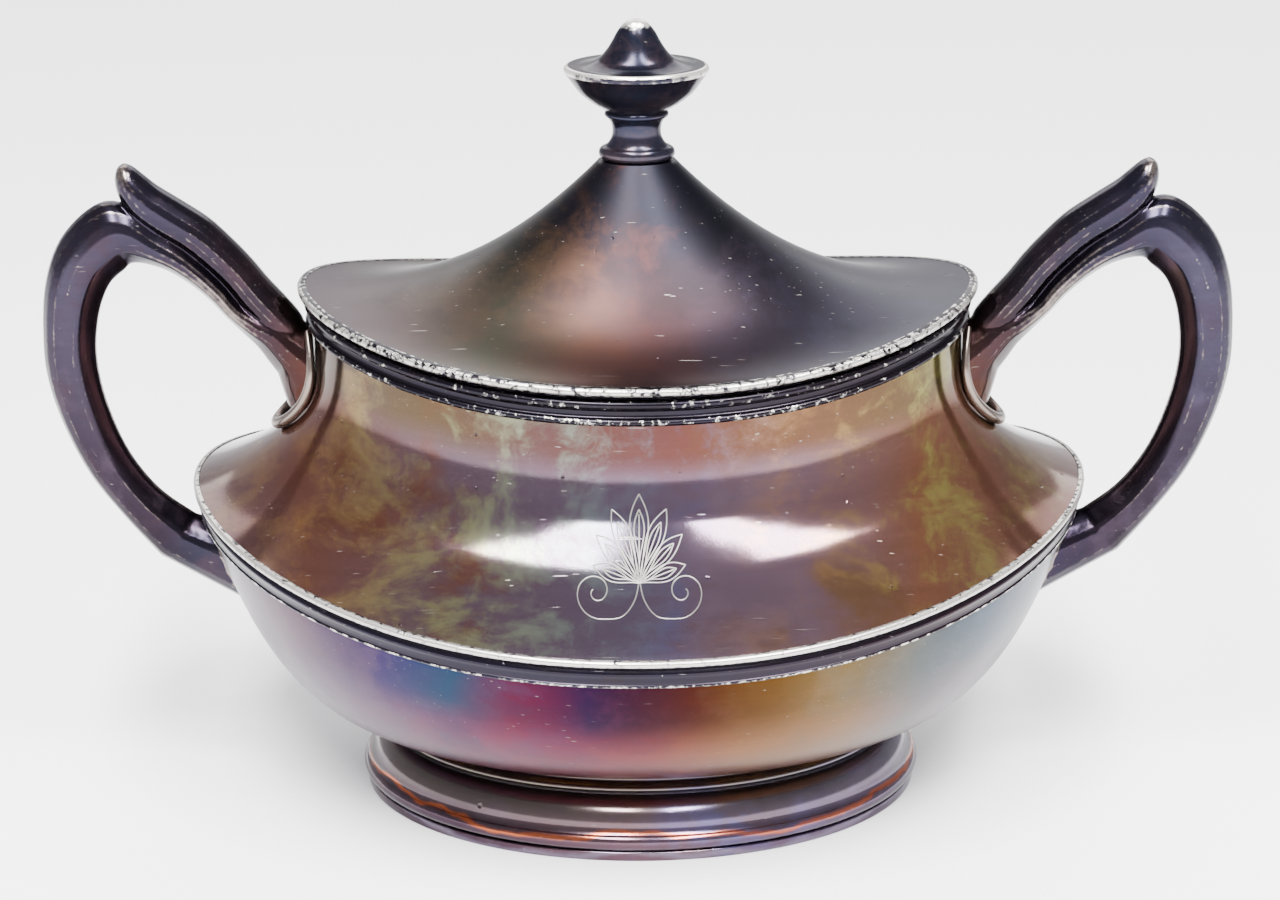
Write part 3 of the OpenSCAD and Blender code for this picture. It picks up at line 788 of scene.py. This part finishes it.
def makeLidWire():
    r = lid["rimWire"] / 2
    back = sheet["solderGap"] - lid["rimWire"]
    outline = arc(-r, r, r, -90, 90, 16) + [(back, 2 * r), (back, 0)]
    edge = (lidA, lidB, lidZ, sheet["mouthRise"])
    mesh = hoop("lid_wire", [shifted(edge, step) for step in outline], wornWire)
    place(mesh, "lid_wire", "lid", "worn_wire", "lid_rim_wire")


def makeFlange():
    # stands inside the mouth and keeps the lid in it
    wall, deep, r = sheet["wall"], lid["flangeDepth"], lid["flangeRound"]
    a, b = neckA - wall - lid["flangeGap"], neckB - wall - lid["flangeGap"]
    top = (a, b, lidTop - wall - sheet["solderGap"], lidRow((a - wall) / edgeA)[3])
    outline = ([(0, 0), (-wall, 0)] + arc(-wall + r, -deep + r, r, 180, 270, 4)
               + arc(-r, -deep + r, r, 270, 360, 4))
    mesh = hoop("lid_flange", [shifted(top, step) for step in outline], lidTarnishAndShade, inner=(0, len(outline)))
    place(mesh, "lid_flange", "lid", "lid_sheet", "lid_bezel")


# outwards from the knob's middle and upwards from its seat, but the peak upwards from the disc
knob = {
    "roll": (4.6, 1.05, 1),            # middle and radius
    "stem": [(4.7, 2.1), (4.2, 2.5), (3.7, 3.4), (3.55, 4.4), (3.75, 5.6), (4.3, 6.4)],
    "bead": (4.2, 6.9, 0.5),
    "cup": [(4.6, 7.5), (5.2, 7.9), (6.8, 8.9), (8.4, 10.3), (9.5, 11.8)],
    "disc": 0.645,                     # its height as a share of the knob's
    "rim": 0.7,                        # radius of the disc's edge
    "peak": [(9.0, 0.66), (8.2, 0.74), (6.6, 1.12), (5.3, 1.85), (4.3, 3), (3.5, 4.3), (2.8, 5.6)],
    "tip": [(2, -0.8), (1.3, -0.25), (0.6, 0)],    # from the top
    "boreR": 1.55,
    "boreTop": 6.5,
}


def makeKnob():
    tall = knobTop - seatZ
    disc, rim, bore = tall * knob["disc"], knob["rim"], knob["boreR"]
    peak = [(out, disc + up) for out, up in knob["peak"]] + [(out, tall + up) for out, up in knob["tip"]]
    outline = (arc(*knob["roll"], -90, 60, 14) + flowing(knob["stem"], 4) + arc(*knob["bead"], -30, 60, 8)
               + flowing(knob["cup"], 5) + arc(knobR - rim, disc, rim, -40, 90, 16) + flowing(peak, 5)
               + [(0, tall)])
    rows = [(out, out * knobOval, seatZ + up, 0) for out, up in outline]
    bored = [(0, 0, knob["boreTop"]), (bore, bore, knob["boreTop"]), (bore, bore, sheet["solderGap"])]
    rows = [(a, b, seatZ + up, 0) for a, b, up in bored] + rows
    shielded = [1.2 if row[2] < seatZ + disc - 1.2 else 0.0 for row in rows]      # only the disc is rubbed
    mesh = hoop("knob_cast", rows, knobTarnish, closed=False, shielded=shielded)
    place(mesh, "knob_cast", "lid", "knob_casting", "finial_knob")


makeLid()
makeLidWire()
makeFlange()
makeKnob()
for node in ("finial_stud", "finial_washer", "finial_nut"):
    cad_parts[node].data.materials.clear()
    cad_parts[node].data.materials.append(nickel)
print("lid and knob made")


# stations along the loop: [inwards from the outermost point, height, half-width, half-depth as a share,
# direction in degrees]; the arm runs under the leaf and then takes the whole width of the bend
handle = {
    "arm": [(36.4, 69.6, 4.4, 1.25, 158), (34.4, 71.8, 3.4, 1.12, 140), (31.8, 73.2, 2.4, 1.02, 133),
            (28.6, 75.6, 1.75, 0.98, 132), (26.2, 78.5, 1.85, 0.98, 132), (23.2, 81.4, 2.1, 0.98, 133),
            (20.2, 83.7, 2.5, 1.0, 138), (16.6, 85.6, 3.1, 1.0, 155), (13.4, 87.3, 4.6, 1.02, 183),
            (10.9, 86.9, 5.3, 1.05, 203), (7.1, 83.3, 4.9, 1.1, 229), (5, 78.2, 4.4, 1.1, 252),
            (4.1, 72, 4.0, 1.08, 266), (4.2, 66, 3.9, 1.05, 275), (5.8, 59, 3.7, 1.0, 288),
            (9, 51.3, 3.5, 0.95, 297), (13.6, 44.8, 3.5, 0.92, 309), (18.8, 39.6, 4.3, 0.95, 319)],
    "leaf": [(38.4, 69.4, 2.4, 0.8, 150), (36.6, 72.2, 3.0, 1.0, 138), (34.5, 75.0, 2.95, 1.05, 133),
             (31.8, 78.2, 2.9, 1.06, 132), (29.4, 81.4, 2.85, 1.06, 132), (26.5, 84.5, 2.95, 1.06, 132),
             (23.3, 87.4, 3.1, 1.05, 134), (19.2, 90.1, 3.2, 1.03, 137), (16.2, 92.3, 3.0, 1.0, 139),
             (14.3, 94.6, 2.5, 0.9, 133), (13.3, 96.5, 1.7, 0.7, 126), (12.9, 97.7, 0.7, 0.35, 120)],
    "rootHigh": (65.8, 7.1, 4.6),      # height, half-height and half-depth where it meets the neck
    "rootLow": (35.4, 6.6, 4.2),       # and the belly
    "halfDepth": 3.2,
    "rootGap": 0.2,
    "voxel": 0.22,
}
gripX = corner("right_handle", 1)[0]
# across the loop and from front to back, as shares: round outside, a ridge, then a chamfer inside
profile = [(-1.0, 0.0), (-0.95, 0.32), (-0.78, 0.66), (-0.5, 0.9), (-0.15, 1.0), (0.22, 0.97), (0.42, 0.86),
           (0.66, 0.6), (0.88, 0.34), (1.0, 0.12)]
profile = profile + [(u, -v) for u, v in profile[:0:-1]]


def wallX(rowAt, y, z):
    # where a wall of the body stands at a depth and a height
    low, high = 0.0, 1.0
    rising = rowAt(1)[2] > rowAt(0)[2]
    for _ in range(24):
        middle = (low + high) / 2
        row = rowAt(middle)
        along = math.sqrt(max(0, 1 - (y / row[1]) ** 2))
        if (row[2] + row[3] * along ** sheet["saddlePower"] < z) == rising:
            low = middle
        else:
            high = middle
    return row[0] * along


def section(station, outline):
    inwards, height, half, deep, direction = station
    turn = math.radians(90 - direction)
    return [(gripX - inwards + u * half * math.cos(turn), handle["halfDepth"] * deep * v,
             height + u * half * math.sin(turn)) for u, v in outline]


def root(spot, rowAt, sense):
    # rings that spread the handle over the body's curve; sense turns them as the loop's stations run
    height, halfHeight, halfDepth = spot
    rings = []
    for size in (0.04, 0.4, 0.7, 1.0):
        ring = []
        for u, v in profile:
            length = max(math.hypot(u, v), 0.01)
            y = size * halfDepth * v / length
            z = height + size * sense * halfHeight * u / length
            ring.append((wallX(rowAt, y, z) + handle["rootGap"], y, z))
        rings.append(ring)
    return rings


def blended(first, second, t):
    return [tuple(mix(p, q, t) for p, q in zip(a, b)) for a, b in zip(first, second)]


def skin(rings):
    # a closed solid through rings of points
    count = len(rings[0])
    points = [tuple(value * mm for value in point) for ring in rings for point in ring]
    faces = []
    for first in range(0, len(points) - count, count):
        for j in range(count):
            k = (j + 1) % count
            faces.append((first + j, first + k, first + count + k, first + count + j))
    faces += [tuple(range(count)), tuple(range(len(points) - count, len(points)))]
    return points, faces


def makeHandles():
    stations = [section(s, profile) for s in flowing(handle["arm"], 6)]
    upper = root(handle["rootHigh"], shoulderRow, -1)
    lower = root(handle["rootLow"], bellyRow, 1)
    start = [blended(upper[3], stations[0], t) for t in (0.25, 0.5, 0.75)]
    end = [blended(stations[-1], lower[3], t) for t in (0.25, 0.5, 0.75)]
    arm = skin(upper + start + stations + end + lower[::-1])
    roundOutline = [(math.cos(math.radians(t)), math.sin(math.radians(t))) for t in range(0, 360, 20)]
    leaf = skin([section(s, roundOutline) for s in flowing(handle["leaf"], 5)])
    work = bmesh.new()
    for points, faces in (arm, leaf):
        corners = [work.verts.new(point) for point in points]
        for face in faces:
            work.faces.new([corners[i] for i in face])
    bmesh.ops.recalc_face_normals(work, faces=work.faces)
    mesh = bpy.data.meshes.new("handle_cast")
    work.to_mesh(mesh)
    work.free()
    draft = addObject("handle_draft", mesh)
    remesh = draft.modifiers.new("fuse", "REMESH")
    remesh.mode = "VOXEL"
    remesh.voxel_size = handle["voxel"] * mm
    relax = draft.modifiers.new("relax", "SMOOTH")
    relax.factor = 0.6
    relax.iterations = 5
    fused = finished(draft)
    for side, name in ((1, "right_handle"), (-1, "left_handle")):
        cast = fused.copy()
        cast.transform(Matrix.Diagonal((side, 1, 1, 1)))
        outwards(cast)
        cast.materials.append(handleTarnishAndHighlight)
        cast.shade_smooth()
        markEdges(cast, 3)
        place(cast, name + "_cast", "bowl", "handle_casting", name)


def makeBeadTree():
    # a bead that tapers to both ends of its path
    tree, given, output = newTree("taperedBead", [
        ("Path", "Geometry"), ("Radius", "Float"), ("Points", "Int"), ("Material", "Material")])
    path = addNode(tree, "GeometryNodeMeshToCurve", {"Mesh": given.outputs["Path"]})
    even = addNode(tree, "GeometryNodeResampleCurve", {
        "Curve": path.outputs[0], "Count": given.outputs["Points"]})
    along = addNode(tree, "GeometryNodeSplineParameter").outputs["Factor"]
    swell = calc(tree, "SINE", calc(tree, "MULTIPLY_ADD", along, math.radians(130), math.radians(25)))
    ring = addNode(tree, "GeometryNodeCurvePrimitiveCircle", {
        "Resolution": 16, "Radius": given.outputs["Radius"]})
    tube = addNode(tree, "GeometryNodeCurveToMesh", {
        "Curve": even.outputs[0], "Profile Curve": ring.outputs[0], "Scale": swell, "Fill Caps": True})
    smooth = addNode(tree, "GeometryNodeSetShadeSmooth", {"Geometry": tube.outputs[0]})
    finishTree(tree, smooth.outputs[0], given.outputs["Material"], output)
    return tree


socketBead = {"radius": 0.9, "from": -60, "to": 240, "stations": 40, "points": 72}


def makeSockets():
    tree = makeBeadTree()
    high, halfHeight, halfDepth = handle["rootHigh"]
    bead, gap = socketBead["radius"], handle["rootGap"]
    step = 0.5    # over which the wall's slope is measured
    for side, name in ((1, "right_handle_socket"), (-1, "left_handle_socket")):
        points = []
        for i in range(socketBead["stations"] + 1):
            t = math.radians(mix(socketBead["from"], socketBead["to"], i / socketBead["stations"]))
            y = (halfDepth + bead + gap / 2) * math.cos(t)
            z = high - (halfHeight + bead + gap / 2) * math.sin(t)
            here = wallX(shoulderRow, y, z)
            slopeY = (wallX(shoulderRow, y + step, z) - here) / step
            slopeZ = (wallX(shoulderRow, y, z + step) - here) / step
            x = here + (bead + gap) * math.sqrt(1 + slopeY ** 2 + slopeZ ** 2)
            points.append((side * x * mm, y * mm, z * mm))
        host = bpy.data.meshes.new(name + "_path")
        host.from_pydata(points, [(i, i + 1) for i in range(len(points) - 1)], [])
        mesh = grow(name + "_bead", host, tree, {
            "Radius": bead * mm, "Points": socketBead["points"], "Material": handleTarnishAndHighlight})
        outwards(mesh)
        markEdges(mesh)
        place(mesh, name + "_bead", "bowl", "handle_casting", name)


makeHandles()
makeSockets()
print("handles made")


# engraved on the front of the shoulder
spray = {
    "leaves": 7,
    "spread": 150,                 # degrees from the first leaf to the last
    "shortening": 0.7,             # how much less long the outer leaves are
    "length": 10.5,
    "width": 2.7,
    "base": 46.5,                  # height of the leaves' foot
    "front": -70,                  # depth from which the lines are laid on the sheet
    "line": 0.11,                  # half-width of a cut
    "lift": 0.02,
    "scrollMiddle": (6.2, -0.8),
    "scrollR": (3.4, 0.5),
    "scrollTurn": (-95, 395),
    "scrollFlat": 0.7,
    "scrollPoints": 43,
    "stem": [(0, 0.4), (0.7, -1.6), (2.6, -3.0)],
}


def makeSprayTree():
    # fans copies of an outline round its foot and lays the lines on the shoulder
    tree, given, output = newTree("engravedSpray", [
        ("Outline", "Geometry"), ("Leaves", "Int"), ("Spread", "Float"), ("Shortening", "Float"),
        ("Base", "Vector"), ("Line", "Float"), ("Lift", "Float"), ("Shoulder", "Object"),
        ("Material", "Material")])
    leaves = given.outputs["Leaves"]
    base = addNode(tree, "GeometryNodePoints", {"Count": leaves, "Position": given.outputs["Base"]})
    index = addNode(tree, "GeometryNodeInputIndex").outputs[0]
    last = calc(tree, "MAXIMUM", minus(tree, leaves, 1.0), 1.0)
    middle = times(tree, calc(tree, "GREATER_THAN", leaves, 1.5), 0.5)
    share = minus(tree, calc(tree, "DIVIDE", index, last), middle)
    size = minus(tree, 1.0, times(tree, calc(tree, "ABSOLUTE", share), given.outputs["Shortening"]))
    lean = addNode(tree, "ShaderNodeCombineXYZ", {"Y": times(tree, share, given.outputs["Spread"])})
    rotation = addNode(tree, "FunctionNodeEulerToRotation", {0: lean.outputs[0]})
    copies = addNode(tree, "GeometryNodeInstanceOnPoints", {
        "Points": base.outputs[0], "Instance": given.outputs["Outline"], "Rotation": rotation.outputs[0],
        "Scale": size})
    lines = addNode(tree, "GeometryNodeRealizeInstances", {"Geometry": copies.outputs[0]})
    path = addNode(tree, "GeometryNodeMeshToCurve", {"Mesh": lines.outputs[0]})
    # socket 3 is the length between points
    even = addNode(tree, "GeometryNodeResampleCurve", {0: path.outputs[0], 3: 0.25 * mm}, mode="LENGTH")
    target = addNode(tree, "GeometryNodeObjectInfo", {"Object": given.outputs["Shoulder"]})
    ray = addNode(tree, "GeometryNodeRaycast", {
        "Target Geometry": target.outputs["Geometry"], "Ray Direction": (0, 1, 0), "Ray Length": 1.0,
        "Source Position": addNode(tree, "GeometryNodeInputPosition").outputs[0]})
    lifted = addNode(tree, "ShaderNodeVectorMath", {
        0: ray.outputs["Hit Normal"], "Scale": given.outputs["Lift"]}, operation="SCALE")
    spot = addNode(tree, "ShaderNodeVectorMath", {
        0: ray.outputs["Hit Position"], 1: lifted.outputs[0]}, operation="ADD")
    laid = addNode(tree, "GeometryNodeSetPosition", {
        "Geometry": even.outputs[0], "Position": spot.outputs[0]})
    cut = addNode(tree, "GeometryNodeCurvePrimitiveCircle", {
        "Resolution": 6, "Radius": given.outputs["Line"]})
    tube = addNode(tree, "GeometryNodeCurveToMesh", {
        "Curve": laid.outputs[0], "Profile Curve": cut.outputs[0], "Fill Caps": True})
    smooth = addNode(tree, "GeometryNodeSetShadeSmooth", {"Geometry": tube.outputs[0]})
    finishTree(tree, smooth.outputs[0], given.outputs["Material"], output)
    return tree


def linesMesh(name, lines):
    host = bpy.data.meshes.new(name)
    points, edges = [], []
    for line in lines:
        first = len(points)
        points += [(x * mm, 0, z * mm) for x, z in line]
        edges += [(first + i, first + i + 1) for i in range(len(line) - 1)]
    host.from_pydata(points, edges, [])
    return host


def withMirror(lines):
    return lines + [[(-x, z) for x, z in line] for line in lines]


def scrollLine():
    out, up = spray["scrollMiddle"]
    line = []
    for i in range(spray["scrollPoints"] + 1):
        t = i / spray["scrollPoints"]
        turn = math.radians(mix(*spray["scrollTurn"], t))
        r = mix(*spray["scrollR"], t ** 0.8)
        line.append((out + r * math.cos(turn), up + spray["scrollFlat"] * r * math.sin(turn)))
    return line


def makeSpray():
    tree = makeSprayTree()
    long, wide = spray["length"], spray["width"]
    side = [(wide / 2 * math.sin(math.pi * t ** 1.4), long * t) for t in [i / 20 for i in range(21)]]
    inner = [(0.55 * x, 0.18 * long + 0.62 * z) for x, z in side]
    leaf = withMirror([side, inner]) + [[(0, 0.1 * long), (0, 0.74 * long)]]
    scroll = scrollLine()
    scrolls = withMirror([scroll, flowing(spray["stem"] + [scroll[0]], 6)])
    common = {"Base": (0, spray["front"] * mm, spray["base"] * mm), "Line": spray["line"] * mm,
              "Lift": spray["lift"] * mm, "Shoulder": bpy.data.objects["upper_body_sheet"],
              "Material": engravedLine}
    fan = grow("spray_leaves", linesMesh("leaf_lines", leaf), tree, dict(
        common, Leaves=spray["leaves"], Spread=math.radians(spray["spread"]), Shortening=spray["shortening"]))
    curls = grow("spray_scrolls", linesMesh("scroll_lines", scrolls), tree, dict(
        common, Leaves=1, Spread=0.0, Shortening=0.0))
    work = bmesh.new()
    work.from_mesh(fan)
    work.from_mesh(curls)
    mesh = bpy.data.meshes.new("shoulder_engraving")
    work.to_mesh(mesh)
    work.free()
    mesh.materials.append(engravedLine)
    outwards(mesh)
    markEdges(mesh)
    place(mesh, "shoulder_engraving", "bowl", "worn_wire")


makeSpray()
print("engraving made")


view = {"pitch": 21.0, "distance": 0.63, "aim": (0.0002, 0.0, 0.0527), "lens": 118.1, "roll": -0.35}
studio = {
    "softboxes": [                                   # place, width, height and power
        ((-0.16, -0.72, 1.0), 0.2, 1.0, 60),
        ((0.29, -0.72, 1.0), 0.18, 1.0, 52),
    ],
    "overhead": ((0.0, 1.6, 1.6), 2.4, 1.6, 50),
    "floorSize": 8.0,
    "sky": [(0.0, 0.9), (0.2, 0.8), (0.6, 0.45), (1.0, 0.5)],    # height and brightness
    "skyStrength": 1.5,
}


def makeCamera():
    camera = addObject("camera", bpy.data.cameras.new("camera"))
    camera.data.lens = view["lens"]
    camera.data.sensor_width = 36
    camera.data.clip_start = 0.01
    camera.data.clip_end = 50
    pitch = math.radians(view["pitch"])
    aim = Vector(view["aim"])
    camera.location = aim + Vector((0, -math.cos(pitch), math.sin(pitch))) * view["distance"]
    look = (aim - camera.location).to_track_quat("-Z", "Y")
    roll = Matrix.Rotation(math.radians(view["roll"]), 3, "Z")
    camera.rotation_euler = (look.to_matrix() @ roll).to_euler()
    bpy.context.scene.camera = camera


def makeLight(name, spot, width, height, power, target=(0, 0, 0.05)):
    lamp = bpy.data.lights.new(name, "AREA")
    lamp.shape = "RECTANGLE"
    lamp.size = width
    lamp.size_y = height
    lamp.energy = power
    light = addObject(name, lamp)
    light.location = spot
    light.rotation_euler = (Vector(target) - Vector(spot)).to_track_quat("-Z", "Y").to_euler()


def makeFloor():
    half = studio["floorSize"] / 2
    mesh = bpy.data.meshes.new("floor")
    corners = [(-half, -half, 0), (half, -half, 0), (half, half, 0), (-half, half, 0)]
    mesh.from_pydata(corners, [], [(0, 1, 2, 3)])
    floor = addObject("floor", mesh)
    material = bpy.data.materials.new("pale_floor")
    material.use_nodes = True
    surface = material.node_tree.nodes["Principled BSDF"]
    surface.inputs["Base Color"].default_value = (0.93, 0.93, 0.94, 1)
    surface.inputs["Roughness"].default_value = 0.8
    surface.inputs["Specular IOR Level"].default_value = 0.0
    mesh.materials.append(material)


def makeWorld():
    world = bpy.data.worlds.new("studio")
    bpy.context.scene.world = world
    world.use_nodes = True
    tree = world.node_tree
    tree.nodes.clear()
    direction = addNode(tree, "ShaderNodeTexCoord").outputs["Generated"]
    tone = addNode(tree, "ShaderNodeValToRGB", {"Fac": split(tree, direction)["Z"]})
    ramp = tone.color_ramp
    for index, (height, value) in enumerate(studio["sky"]):
        stop = ramp.elements[index] if index < 2 else ramp.elements.new(height)
        stop.position = height
        stop.color = (value, value, value * 1.04, 1)
    back = addNode(tree, "ShaderNodeBackground", {
        "Color": tone.outputs[0], "Strength": studio["skyStrength"]})
    output = addNode(tree, "ShaderNodeOutputWorld")
    tree.links.new(back.outputs[0], output.inputs[0])


makeCamera()
for number, (spot, width, height, power) in enumerate(studio["softboxes"]):
    makeLight("softbox_%d" % number, spot, width, height, power, (spot[0], spot[1] + 0.01, 0))
makeLight("overhead", *studio["overhead"])
makeFloor()
makeWorld()
print("studio made")
